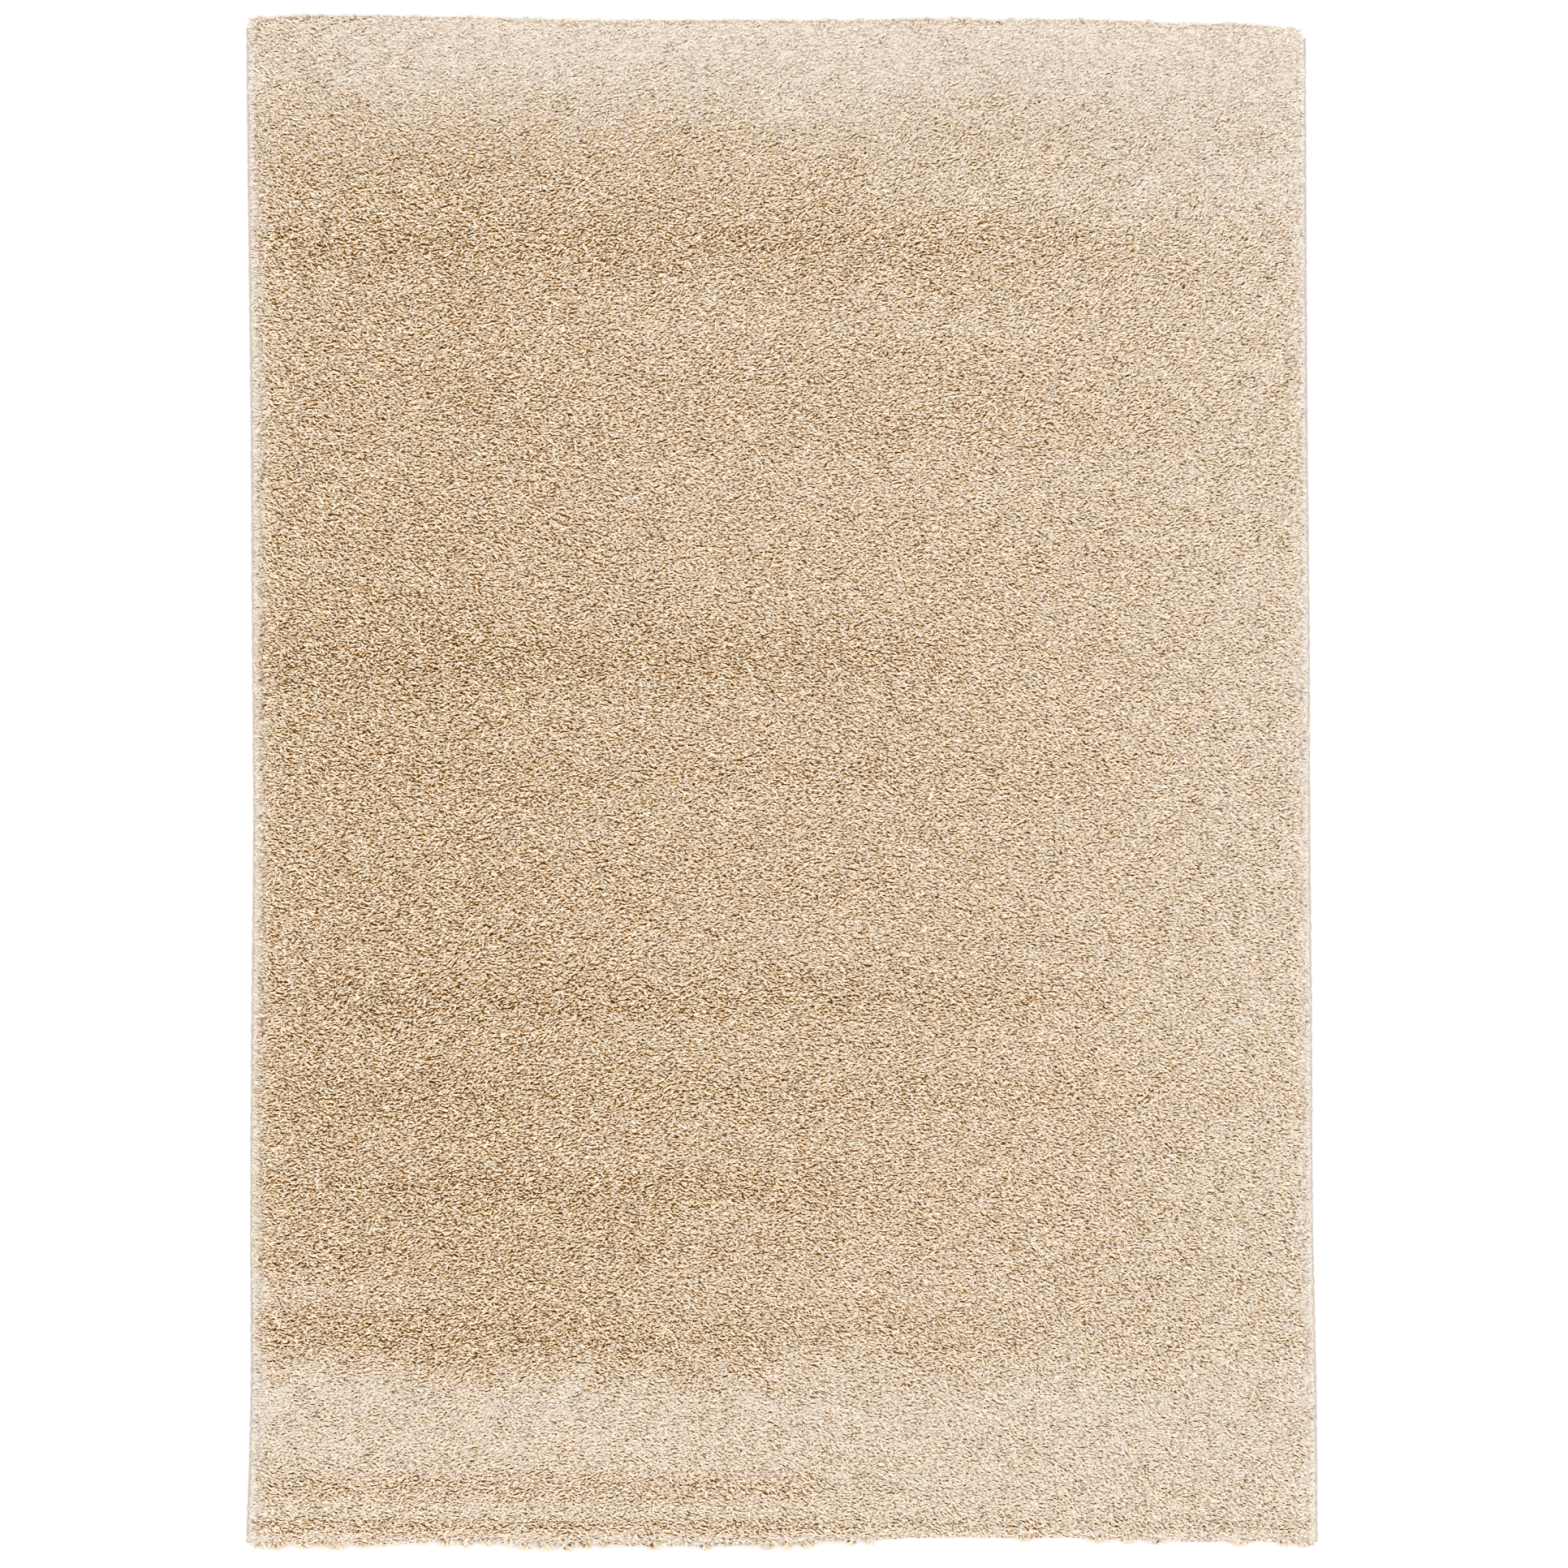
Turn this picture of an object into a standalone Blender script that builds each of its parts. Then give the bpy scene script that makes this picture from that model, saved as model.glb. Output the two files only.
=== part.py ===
"""Shag rug lying flat: a woven mat with its cut pile, and a serged edge sewn round each long side.

Metres, +Z up. The origin is the middle of the underside, +Y runs along the rug to its top end and
+X runs across it to its right side.
"""

import bmesh
import bpy
import numpy as np

# Heights above the floor.
GROUND_HEIGHT = 0.003        # woven ground cloth
PILE_HEIGHT = 0.030          # ground and pile together, between the waves
SERGE_HEIGHT = 0.005         # overcast yarn round the edge

SERGE_WIDTH = 0.012
SERGE_ROUNDING = 0.0018      # on the band's four long corners
CLEARANCE = 0.0003           # between the mat and each serged edge
PILE_REACH_LEFT = 0.001      # pile past the ground cloth at the left side
PILE_REACH_RIGHT = 0.004     # the pile leans to the right, so it covers more of that band

# Grid of the pile's surface. The outer cells are narrower, so the rim turns over smoothly.
CELLS_ACROSS = 34
CELLS_ALONG = 48
RIM_CROWDING = 0.75          # 0 spaces the cells evenly, 1 crowds them most at the rim

# Outer sides of the serged edges. The left side bows in at the middle, the right side slants out.
SIDES = [
    # along,   left,   right
    (-1.150, -0.8095, 0.8095),
    (-0.952, -0.8035, 0.8085),
    (-0.658, -0.8035, 0.8025),
    (-0.363, -0.8020, 0.8010),
    (-0.069, -0.7990, 0.7985),
    (0.225, -0.8010, 0.7975),
    (0.593, -0.8035, 0.7940),
    (0.887, -0.8070, 0.7925),
    (1.140, -0.8095, 0.7915),
]

# Both ends: where the hemmed ground cloth stops, and how far the tips of the pile hang over it.
ENDS = [
    # across, ground_top, tips_top, ground_bottom, tips_bottom
    (-0.810, 1.140, 1.151, -1.150, -1.158),
    (-0.760, 1.141, 1.157, -1.149, -1.153),
    (-0.700, 1.141, 1.158, -1.148, -1.150),
    (-0.630, 1.140, 1.158, -1.147, -1.154),
    (-0.550, 1.140, 1.157, -1.146, -1.149),
    (-0.480, 1.139, 1.156, -1.145, -1.147),
    (-0.400, 1.138, 1.154, -1.144, -1.154),
    (-0.330, 1.138, 1.152, -1.143, -1.153),
    (-0.190, 1.137, 1.151, -1.142, -1.155),
    (-0.040, 1.136, 1.152, -1.141, -1.154),
    (0.110, 1.135, 1.151, -1.141, -1.147),
    (0.180, 1.134, 1.153, -1.140, -1.143),
    (0.330, 1.133, 1.152, -1.140, -1.142),
    (0.480, 1.132, 1.152, -1.141, -1.143),
    (0.560, 1.130, 1.149, -1.143, -1.146),
    (0.620, 1.129, 1.145, -1.145, -1.149),
    (0.700, 1.127, 1.146, -1.146, -1.148),
    (0.770, 1.125, 1.139, -1.147, -1.150),
    (0.810, 1.124, 1.130, -1.149, -1.158),
]

LEFT, RIGHT = 1, 2                                             # columns of SIDES
GROUND_TOP, TIPS_TOP, GROUND_BOTTOM, TIPS_BOTTOM = 1, 2, 3, 4  # columns of ENDS

# The pile's section at the rim, from the ground cloth up to the crown. A reach of 0 is the ground
# cloth's edge and 1 is the tips of the pile.
RIM = [
    # height, reach
    (0.0065, 0.05),
    (0.0140, 1.00),
    (0.0220, 0.95),
    (0.0270, 0.45),
]
CROWN_REACH = -0.6           # the crown starts inside the ground cloth's edge
CROWN_HEIGHT = 0.0290

# Low waves that cross the rug where it was rolled up, and the hollow along the bottom hem.
WAVES = [
    # along, half_width, depth, left, right
    (0.805, 0.045, 0.0022, -0.78, 0.45),
    (0.520, 0.040, 0.0010, -0.40, 0.60),
    (0.185, 0.050, 0.0022, -0.76, 0.25),
    (0.008, 0.035, 0.0015, -0.66, 0.20),
    (-0.327, 0.040, 0.0020, -0.74, 0.35),
    (-0.467, 0.035, 0.0012, -0.75, 0.30),
    (-0.606, 0.035, 0.0022, -0.77, 0.10),
    (-0.843, 0.040, 0.0016, -0.78, 0.35),
    (-1.060, 0.030, 0.0016, -0.74, 0.05),
    (-1.118, 0.012, 0.0025, -0.79, 0.79),
]
WAVE_FADE = 0.18             # how gently a wave runs out at its two ends

PILE_COLOUR = (0.66, 0.52, 0.37, 1.0)
SERGE_COLOUR = (0.72, 0.62, 0.54, 1.0)
YARN_ROUGHNESS = 0.9


def column(table, index):
    """One column of a table as an array."""
    return np.array([row[index] for row in table])


def through(table, index, place):
    """A column read at any place along the table's first column, on a smooth curve through its rows.

    Each stretch is a cubic whose slopes at its two rows follow the neighbouring rows.
    """
    stations, values = column(table, 0), column(table, index)
    place = np.clip(place, stations[0], stations[-1])
    slopes = np.gradient(values, stations)
    row = np.clip(np.searchsorted(stations, place) - 1, 0, len(stations) - 2)
    step = stations[row + 1] - stations[row]
    t = (place - stations[row]) / step
    from_start = (1 + 2 * t) * (1 - t) ** 2 * values[row] + t * (1 - t) ** 2 * step * slopes[row]
    from_end = t * t * (3 - 2 * t) * values[row + 1] + t * t * (t - 1) * step * slopes[row + 1]
    return from_start + from_end


def side_line(index, inset, reach, along):
    """One long side of the mat: the serged edge's outer side, less the band, plus the pile's reach."""
    outer = through(SIDES, index, along)
    return outer + np.sign(-outer) * (inset - reach)


def mat_outline(level, shares_across, shares_along):
    """Corner-to-corner curves of the mat at one reach level: bottom, top, left and right.

    A level of 0 follows the ground cloth and 1 follows the tips of the pile. Each curve is an
    array of points, and the four meet at the corners.
    """
    inset = SERGE_WIDTH + CLEARANCE
    corner_along = column(SIDES, 0)[[0, -1]]
    left_ends = side_line(LEFT, inset, level * PILE_REACH_LEFT, corner_along)
    right_ends = side_line(RIGHT, inset, level * PILE_REACH_RIGHT, corner_along)

    def end_line(end, ground_index, tips_index):
        across = left_ends[end] + shares_across * (right_ends[end] - left_ends[end])
        ground = through(ENDS, ground_index, across)
        tips = through(ENDS, tips_index, across)
        return np.stack([across, ground + level * (tips - ground)], axis=1)

    bottom, top = end_line(0, GROUND_BOTTOM, TIPS_BOTTOM), end_line(1, GROUND_TOP, TIPS_TOP)

    def side(index, reach, end):
        along = bottom[end, 1] + shares_along * (top[end, 1] - bottom[end, 1])
        across = side_line(index, inset, level * reach, along)
        across += (bottom[end, 0] - across[0]) * (1 - shares_along) + (top[end, 0] - across[-1]) * shares_along
        return np.stack([across, along], axis=1)

    return bottom, top, side(LEFT, PILE_REACH_LEFT, 0), side(RIGHT, PILE_REACH_RIGHT, -1)


def mat_points(level, shares_across, shares_along):
    """A patch stretched between the four curves of one level, as a grid of points.

    It is the sum of the two straight blends between facing curves, less the blend of the corners.
    """
    bottom, top, left, right = mat_outline(level, shares_across, shares_along)
    u = shares_across[:, None, None]
    v = shares_along[None, :, None]
    between_ends = (1 - v) * bottom[:, None] + v * top[:, None]
    between_sides = (1 - u) * left[None] + u * right[None]
    corners = ((1 - u) * ((1 - v) * bottom[0] + v * top[0]) + u * ((1 - v) * bottom[-1] + v * top[-1]))
    return between_ends + between_sides - corners


def wave_depth(across, along):
    """How far the pile's surface dips: each wave is a bell along the rug that fades at its ends."""
    depth = np.zeros_like(across)
    for middle, half_width, dip, left, right in WAVES:
        bell = np.exp(-((along - middle) / half_width) ** 2)
        fade = np.clip((across - left) / WAVE_FADE + 1, 0, 1) * np.clip((right - across) / WAVE_FADE + 1, 0, 1)
        depth += dip * bell * fade * fade * (3 - 2 * fade)
    return depth


def crowded_shares(cells):
    """Shares from 0 to 1 along a side, closer together near both ends."""
    even = np.linspace(0.0, 1.0, cells + 1)
    eased = (1 - np.cos(np.pi * even)) / 2
    return even + RIM_CROWDING * (eased - even)


def rim_of(grid):
    """The points on a grid's border, once round."""
    return np.concatenate([grid[:, 0], grid[-1, 1:], grid[-2::-1, -1], grid[0, -2:0:-1]])


def yarn_material(name, colour):
    material = bpy.data.materials.new(name)
    material.use_nodes = True
    shader = material.node_tree.nodes["Principled BSDF"]
    shader.inputs["Base Color"].default_value = colour
    shader.inputs["Roughness"].default_value = YARN_ROUGHNESS
    shader.inputs["Metallic"].default_value = 0.0
    material.diffuse_color = colour
    return material


def place(name, mesh, material, collection):
    piece = bpy.data.objects.new(name, mesh)
    mesh.materials.append(material)
    collection.objects.link(piece)
    return piece


def build_mat(collection):
    """The mat: a grid for the pile's crown, its border drawn down level by level to the floor."""
    shares_across = crowded_shares(CELLS_ACROSS)
    shares_along = crowded_shares(CELLS_ALONG)
    crown = mat_points(CROWN_REACH, shares_across, shares_along)
    dip = wave_depth(crown[..., 0], crown[..., 1])
    inner = np.zeros(dip.shape)
    inner[1:-1, 1:-1] = 1.0
    height = CROWN_HEIGHT + inner * (PILE_HEIGHT - CROWN_HEIGHT - dip)

    shape = bmesh.new()
    bmesh.ops.create_grid(shape, x_segments=CELLS_ACROSS, y_segments=CELLS_ALONG, size=0.5)
    for vertex in shape.verts:
        i = round((vertex.co.x + 0.5) * CELLS_ACROSS)
        j = round((vertex.co.y + 0.5) * CELLS_ALONG)
        vertex.co = (*crown[i, j], height[i, j])

    levels = [*reversed(RIM), (GROUND_HEIGHT, 0.0), (0.0, 0.0)]
    order = rim_of(crown)
    border = [vertex for vertex in shape.verts if vertex.is_boundary]
    step_of = {vertex: int(np.argmin(np.hypot(*(order - vertex.co.xy).T))) for vertex in border}
    edges = [edge for edge in shape.edges if edge.is_boundary]
    for level_height, reach in levels:
        ring = rim_of(mat_points(reach, shares_across, shares_along))
        drawn = bmesh.ops.extrude_edge_only(shape, edges=edges)["geom"]
        edges = [item for item in drawn if isinstance(item, bmesh.types.BMEdge) and item.is_boundary]
        new_steps = {}
        for vertex in (item for item in drawn if isinstance(item, bmesh.types.BMVert)):
            above = next(v for v in (edge.other_vert(vertex) for edge in vertex.link_edges) if v in step_of)
            new_steps[vertex] = step_of[above]
            vertex.co = (*ring[step_of[above]], level_height)
        step_of = new_steps
    bmesh.ops.contextual_create(shape, geom=edges)
    bmesh.ops.recalc_face_normals(shape, faces=shape.faces)

    mesh = bpy.data.meshes.new("shag_mat")
    shape.to_mesh(mesh)
    shape.free()
    mesh.shade_smooth()
    mesh.set_sharp_from_angle(angle=np.radians(50))
    return place("shag_mat", mesh, yarn_material("shag_pile", PILE_COLOUR), collection)


def serge_section(guides):
    """The band's section as a flat closed curve: a rounded rectangle, wide and low, drawn clockwise."""
    half_width, half_height, r = SERGE_WIDTH / 2, SERGE_HEIGHT / 2, SERGE_ROUNDING
    corner_turns = np.radians([0, 45, 90])
    points = []
    for side_x, side_y, start in ((1, 1, 0), (-1, 1, 90), (-1, -1, 180), (1, -1, 270)):
        turns = np.radians(start) + corner_turns
        points += [(side_x * (half_width - r) + r * np.cos(turn), side_y * (half_height - r) + r * np.sin(turn))
                   for turn in turns]
    outline = bpy.data.curves.new("serge_section", "CURVE")
    outline.dimensions = "2D"
    outline.fill_mode = "NONE"
    spline = outline.splines.new("POLY")
    spline.points.add(len(points) - 1)
    for point, (x, y) in zip(spline.points, reversed(points)):
        point.co = (x, y, 0.0, 1.0)
    spline.use_cyclic_u = True
    guide = bpy.data.objects.new("serge_section", outline)
    guide.hide_render = True
    guide.display_type = "WIRE"
    guides.objects.link(guide)
    return guide


def build_serged_edge(name, index, section, material, collection):
    """One serged edge: the rounded band carried along the mat's side, flat on the floor."""
    corner = column(SIDES, index)
    end_bottom = through(ENDS, GROUND_BOTTOM, corner[0])
    end_top = through(ENDS, GROUND_TOP, corner[-1])
    along = end_bottom + crowded_shares(CELLS_ALONG) * (end_top - end_bottom)
    outer = through(SIDES, index, along)
    across = outer - np.sign(outer) * SERGE_WIDTH / 2

    route = bpy.data.curves.new(name, "CURVE")
    route.dimensions = "3D"
    route.twist_mode = "Z_UP"
    route.bevel_mode = "OBJECT"
    route.bevel_object = section
    route.use_fill_caps = True
    spline = route.splines.new("POLY")
    spline.points.add(len(along) - 1)
    for point, x, y in zip(spline.points, across, along):
        point.co = (x, y, SERGE_HEIGHT / 2, 1.0)
    edge = bpy.data.objects.new(name, route)
    route.materials.append(material)
    collection.objects.link(edge)
    return edge


def main():
    for old in list(bpy.data.objects):
        bpy.data.objects.remove(old, do_unlink=True)
    rug = bpy.data.collections.new("shag_rug")
    guides = bpy.data.collections.new("guides")
    for collection in (rug, guides):
        bpy.context.scene.collection.children.link(collection)

    build_mat(rug)
    section = serge_section(guides)
    serge_yarn = yarn_material("serging_yarn", SERGE_COLOUR)
    build_serged_edge("serged_edge_left", LEFT, section, serge_yarn, rug)
    build_serged_edge("serged_edge_right", RIGHT, section, serge_yarn, rug)


main()
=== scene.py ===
"""A cream shag rug laid flat: woven ground cloth with two hems, a packed pile, loose curled yarn on top
of it, and an overcast edge sewn down each long side. Lengths are in metres, X runs across the rug, Y along
it and Z up from the floor."""

import bpy
import numpy as np
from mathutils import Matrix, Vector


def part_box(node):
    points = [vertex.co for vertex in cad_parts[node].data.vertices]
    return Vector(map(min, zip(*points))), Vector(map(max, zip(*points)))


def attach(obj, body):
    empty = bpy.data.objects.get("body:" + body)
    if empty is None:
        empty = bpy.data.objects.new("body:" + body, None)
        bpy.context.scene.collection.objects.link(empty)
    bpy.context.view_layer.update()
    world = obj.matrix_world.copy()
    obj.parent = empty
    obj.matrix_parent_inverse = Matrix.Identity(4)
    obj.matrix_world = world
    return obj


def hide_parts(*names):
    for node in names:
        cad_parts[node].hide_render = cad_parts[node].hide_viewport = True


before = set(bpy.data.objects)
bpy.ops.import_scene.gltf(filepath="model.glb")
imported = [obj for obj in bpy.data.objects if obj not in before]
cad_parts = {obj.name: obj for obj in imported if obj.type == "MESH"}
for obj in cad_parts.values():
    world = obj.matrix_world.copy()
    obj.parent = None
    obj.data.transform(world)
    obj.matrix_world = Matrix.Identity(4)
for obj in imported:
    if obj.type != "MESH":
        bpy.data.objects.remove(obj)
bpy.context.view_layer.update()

# The rug and its outline
WIDTH, LENGTH = 1.6, 2.3
CORNER_SLACK = 0.01  # a corner point's shares across and along differ by less than this
LEVEL_SLACK = 2e-5  # a point within this of a height is on its outline

# The cloth and its hems
CLOTH_TOP = 0.0029
HEM_WIDTH = 0.028
HEM_STEP = 0.0009
CLOTH_INSET = 0.0012

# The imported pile
WIDEST = 0.0140  # the height at which the pile reaches out furthest
BED_CROWN = 0.0212
BED_SHOULDER = 0.0160
SHOULDER_WIDTH = 0.020
BED_INSET = 0.0045
BED_CELLS = (148, 212)
# Its wall from the crown down to the cloth: height, share of the way out to the widest outline, inset
BED_WALL = ((0.0128, 0.55, 0.0010), (0.0090, 0.50, 0.0004), (0.0055, 0.25, 0.0008), (0.0030, 0.0, 0.0016))
MAP_START, MAP_SIZE = 0.01, 0.98  # how a whole piece sits in its map

# Troughs pressed across the pile: along, half width, depth, left end, right end
TROUGHS = (
    (0.805, 0.045, 0.0022, -0.78, 0.45),
    (0.520, 0.040, 0.0010, -0.40, 0.60),
    (0.185, 0.050, 0.0022, -0.76, 0.25),
    (0.008, 0.035, 0.0015, -0.66, 0.20),
    (-0.327, 0.040, 0.0020, -0.74, 0.35),
    (-0.467, 0.035, 0.0012, -0.75, 0.30),
    (-0.606, 0.035, 0.0022, -0.77, 0.10),
    (-0.843, 0.040, 0.0016, -0.78, 0.35),
    (-1.060, 0.030, 0.0016, -0.74, 0.05),
    (-1.118, 0.010, 0.0030, -0.82, 0.82),
)
TROUGH_FADE = 0.15

# How light the pile lies, as painted light and shade of its lay, in steps of a 256-step grey scale: left end,
# right end, along, half height, steps
LAY_SHADING_BANDS = (
    (-0.78, 0.34, 0.812, 0.036, -7.0),
    (0.18, 0.80, 0.895, 0.050, 9.0),
    (-0.15, 0.50, 0.690, 0.040, 4.5),
    (-0.45, 0.60, 0.570, 0.060, -2.0),
    (-0.20, 0.65, 0.450, 0.035, 4.0),
    (-0.76, 0.24, 0.188, 0.040, -7.0),
    (-0.74, 0.60, 0.018, 0.024, -4.5),
    (-0.76, 0.20, -0.155, 0.035, -2.5),
    (-0.62, 0.40, -0.327, 0.026, -8.0),
    (-0.76, 0.75, -0.472, 0.026, -5.0),
    (-0.80, -0.25, -0.572, 0.022, 3.5),
    (-0.42, 0.10, -0.615, 0.024, -9.0),
    (-0.80, -0.45, -0.668, 0.026, 4.0),
    (-0.80, -0.52, -0.768, 0.032, 16.0),
    (-0.86, -0.52, 0.210, 0.180, -4.0),
    (-0.16, 0.38, -0.762, 0.030, 4.5),
    (-0.78, 0.10, -0.843, 0.014, -4.0),
    (-0.78, -0.20, -0.915, 0.020, 3.0),
    (-0.78, 0.05, -1.062, 0.018, -12.0),
    (-0.80, 0.05, -1.120, 0.009, -13.0),
    (0.10, 0.80, -1.122, 0.007, -5.0),
)
# The painted rise in light from left to right: places across, steps
ACROSS_AT = (-0.80, -0.75, -0.69, -0.50, -0.30, -0.10, 0.09, 0.29, 0.49, 0.68, 0.80)
ACROSS_STEPS = (-3.5, -7.0, -9.0, -11.0, -6.5, -3.0, -1.0, 2.0, 5.5, 11.5, 13.5)
# Cloudy streaks of painted light and shade over all of that: steps, how far they are squeezed across and
# along, size, seed
CLOUDS = (
    (0.9, 1.0, 3.5, 0.30, 11),
    (2.2, 1.0, 2.5, 0.09, 12),
    (0.7, 4.0, 1.0, 0.40, 13),
    (2.2, 1.0, 2.0, 0.045, 17),
)
LIGHT_RANGE = 32.0  # steps either side of the middle that the yarn's shade covers

# The line the strands lie along, in degrees from the X way: places along, places across, angles
LAY_ALONG = (-0.80, -0.55, -0.28, -0.09, 0.10, 0.46, 0.62, 1.00)
LAY_ACROSS = (-0.72, -0.50, -0.30, -0.05, 0.30, 0.50, 0.75)
LAY_ANGLES = (
    (-1, 10, -3, -11, -14, -16, -17),
    (0, 9, 4, -4, -8, -10, -9),
    (-1, 15, 8, -1, -8, -8, -9),
    (-2, 8, -2, 1, -5, -4, -2),
    (-9, 3, -4, -7, -9, -7, -3),
    (-14, -8, -9, 0, -2, 3, 12),
    (-11, 7, 4, 7, 12, 17, 17),
    (-10, 4, 13, 18, 20, 20, 22),
)

# Yarn: each strand takes one cell of its map, by contrast and shade across and by the painted lay shading
# along
SHADES = 8
LIGHTS = 16
CONTRASTS = (0.6, 1.0, 1.4)
PADS = (0.06, 0.88)  # how a strand's map sits in its cell: start, size
SEED = 20

# A strand is a root point, rings of three, and either a tip point or a blunt end. The rings stand at the
# stations, shares of the way along it, and are wider or narrower than the yarn by the widths.
RING = 3
LONG_COUNT, SHORT_COUNT, RIM_COUNT = 16000, 31500, 15000
LONG_YARN = {
    "length": 0.0105, "width": 0.0025, "rise": 0.0048,
    "stations": (0.42, 0.88), "widths": (1.10, 0.95), "blunt": True,
}
SHORT_YARN = {
    "length": 0.0095, "width": 0.0025, "rise": 0.0042,
    "stations": (0.66,), "widths": (1.20,), "blunt": False,
}
ROOT_DEPTH = 0.0022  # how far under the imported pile's surface a strand starts
RIM_WIDTH = 0.0021
RIM_EXTRA = 0.0007  # how much thicker the yarn is that hangs over the bottom end
LOW_TUFT, HIGH_TUFT = 0.031, 0.021  # how wide the tufts along the bottom and the top end are
PRIME = 997  # a prime number of places, over which things in a row are dealt out unevenly

# The overcast edges
TURN = 0.0031  # how far one turn of the overcasting thread lies from the next
TURN_STEPS = 2
BAND_HALF, BAND_THICK = 0.0064, 0.0024  # half the band's width, half its thickness
COLUMNS = 24  # the map folds the long band into this many columns


def outline_at(height):
    """The mat's outline at one height as four tables, one for each edge, giving where the edge runs at
    each place along it. A point is on a long side if it lies further out across than along, both as shares
    of the half sizes, and on an end otherwise; corner points serve both."""
    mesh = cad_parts["shag_mat"].data
    places = np.empty(len(mesh.vertices) * 3, np.float32)
    mesh.vertices.foreach_get("co", places)
    places = places.reshape(-1, 3).astype(float)
    level = places[np.abs(places[:, 2] - height) < LEVEL_SLACK]
    x, y = np.unique(level.round(6), axis=0)[:, :2].T
    across, along = np.abs(x) / np.abs(x).max(), np.abs(y) / np.abs(y).max()
    long_side, end = across > along - CORNER_SLACK, along > across - CORNER_SLACK
    tables = {}
    for name, on_it, where, value in (
        ("left", long_side & (x < 0), y, x),
        ("right", long_side & (x > 0), y, x),
        ("bottom", end & (y < 0), x, y),
        ("top", end & (y > 0), x, y),
    ):
        order = np.argsort(where[on_it])
        tables[name] = (where[on_it][order], value[on_it][order])
    return tables


GROUND, TIPS = outline_at(0.0), outline_at(WIDEST)
OUTWARD = {"left": -1.0, "right": 1.0, "bottom": -1.0, "top": 1.0}


def edge(name, where, reach=0.0, inset=0.0):
    """Where one edge runs: the ground's edge, plus a share of the way out to the pile's widest outline,
    drawn in by the inset."""
    inner, outer = np.interp(where, *GROUND[name]), np.interp(where, *TIPS[name])
    return inner + reach * (outer - inner) - OUTWARD[name] * inset


def spread(u, v, reach=0.0, inset=0.0):
    """Places on the rug at shares u across and v along: first the height between the two ends at that
    share across, then the way between the two sides at that height."""
    guide = (u - 0.5) * WIDTH
    low, high = edge("bottom", guide, reach, inset), edge("top", guide, reach, inset)
    y = low + (high - low) * v
    left, right = edge("left", y, reach, inset), edge("right", y, reach, inset)
    return left + (right - left) * u, y


def margin(x, y, reach=0.0):
    """How far inside the nearest edge a place lies."""
    return np.minimum.reduce([
        x - edge("left", y, reach), edge("right", y, reach) - x,
        y - edge("bottom", x, reach), edge("top", x, reach) - y,
    ])


def ease(value, start, end):
    """A soft step from 0 at start to 1 at end: three times the square less twice the cube."""
    share = np.clip((value - start) / (end - start), 0, 1)
    return share * share * (3 - 2 * share)


def drift(x, y, size, seed):
    """Smooth random drift, about -1 to 1: nine sine waves of lengths near the given size, each running its
    own way, added and evened out."""
    chance = np.random.default_rng(seed)
    total = 0.0
    for way, length, start in chance.uniform((0, 0.7, 0), (2 * np.pi, 1.5, 2 * np.pi), (9, 3)):
        turn = 2 * np.pi / (size * length)
        total = total + np.sin(turn * (x * np.cos(way) + y * np.sin(way)) + start)
    return total / 3


def stroke(x, y, left, right, along, half):
    """One soft band across the rug: a bell in y, fading in and out at its two ends."""
    window = ease(x, left - TROUGH_FADE, left + 0.02) * (1 - ease(x, right - 0.10, right + TROUGH_FADE))
    return window * np.exp(-(((y - along) / half) ** 2))


def bed_height(x, y):
    """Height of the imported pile: a level crown less the pressed troughs, rolling off at the rim by the
    square of the distance, with clumps two and six centimetres across."""
    rim = np.clip(1 - (margin(x, y, 1.0) - BED_INSET) / SHOULDER_WIDTH, 0, 1)
    height = BED_CROWN - (BED_CROWN - BED_SHOULDER) * rim**2
    for along, half, depth, left, right in TROUGHS:
        height = height - 0.8 * depth * stroke(x, y, left, right, along, half)
    return height + 0.0007 * drift(x, y, 0.060, 3) + 0.0008 * drift(x, y, 0.021, 4)


def painted_lay_shading(x, y):
    """How light the pile lies, from 0 to 1, as painted light and shade of its lay: the rise from left to
    right, the brushed strips at both ends, the brushed bands, the paler pile close to three of the edges, and
    cloudy streaks drawn out across the rug."""
    steps = np.interp(x, ACROSS_AT, ACROSS_STEPS)
    top = ease(y + 0.012 * drift(x, y, 0.45, 14), 0.89, 1.13)
    bottom = 1 - ease(y + 0.018 * drift(x, y, 0.24, 15) + 0.010 * drift(x, y, 0.06, 18), -0.95, -0.81)
    steps = steps + 4.0 * np.clip((y + 0.15) / 0.75, -1, 1) * ease(-x, -0.20, 0.50)
    steps = steps * (1 - top - bottom) + (23 + 2 * x - 8 * ease(-x, 0.50, 0.75)) * top + (16.5 + x) * bottom
    for left, right, along, half, amount in LAY_SHADING_BANDS:
        steps = steps + amount * stroke(x, y, left, right, along, half)
    near_left = 1 - ease(x - edge("left", y, 1.0), 0.010, 0.026)
    steps = steps + 11.0 * near_left * (1 - 0.8 * top - 0.4 * bottom)
    steps = steps + 5.0 * (1 - ease(edge("right", y, 1.0) - x, 0.010, 0.024))
    steps = steps + 8.0 * (1 - ease(y - edge("bottom", x, 1.0), 0.012, 0.022)) * (1 - top)
    for amount, squeeze_x, squeeze_y, size, seed in CLOUDS:
        steps = steps + amount * drift(x * squeeze_x, y * squeeze_y, size, seed)
    return np.clip(0.5 + steps / (2 * LIGHT_RANGE), 0, 0.999)


def contrast(x, y):
    """How strongly dark and pale stand apart: less in the strip brushed smooth at the top end and where the
    pile leans out over the two sides, more in the tufted strip at the bottom end."""
    calm = ease(y + 0.012 * drift(x, y, 0.30, 16), 0.88, 0.97)
    tufted = (1 - ease(y, -1.13, -0.90)) * (1 - 0.5 * ease(x, -0.10, 0.45))
    sides = 1 - ease(np.minimum(x - edge("left", y, 1.0), edge("right", y, 1.0) - x), 0.006, 0.022)
    return 1 - 0.22 * calm + 0.26 * tufted - 0.40 * sides * (1 - calm)


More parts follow.
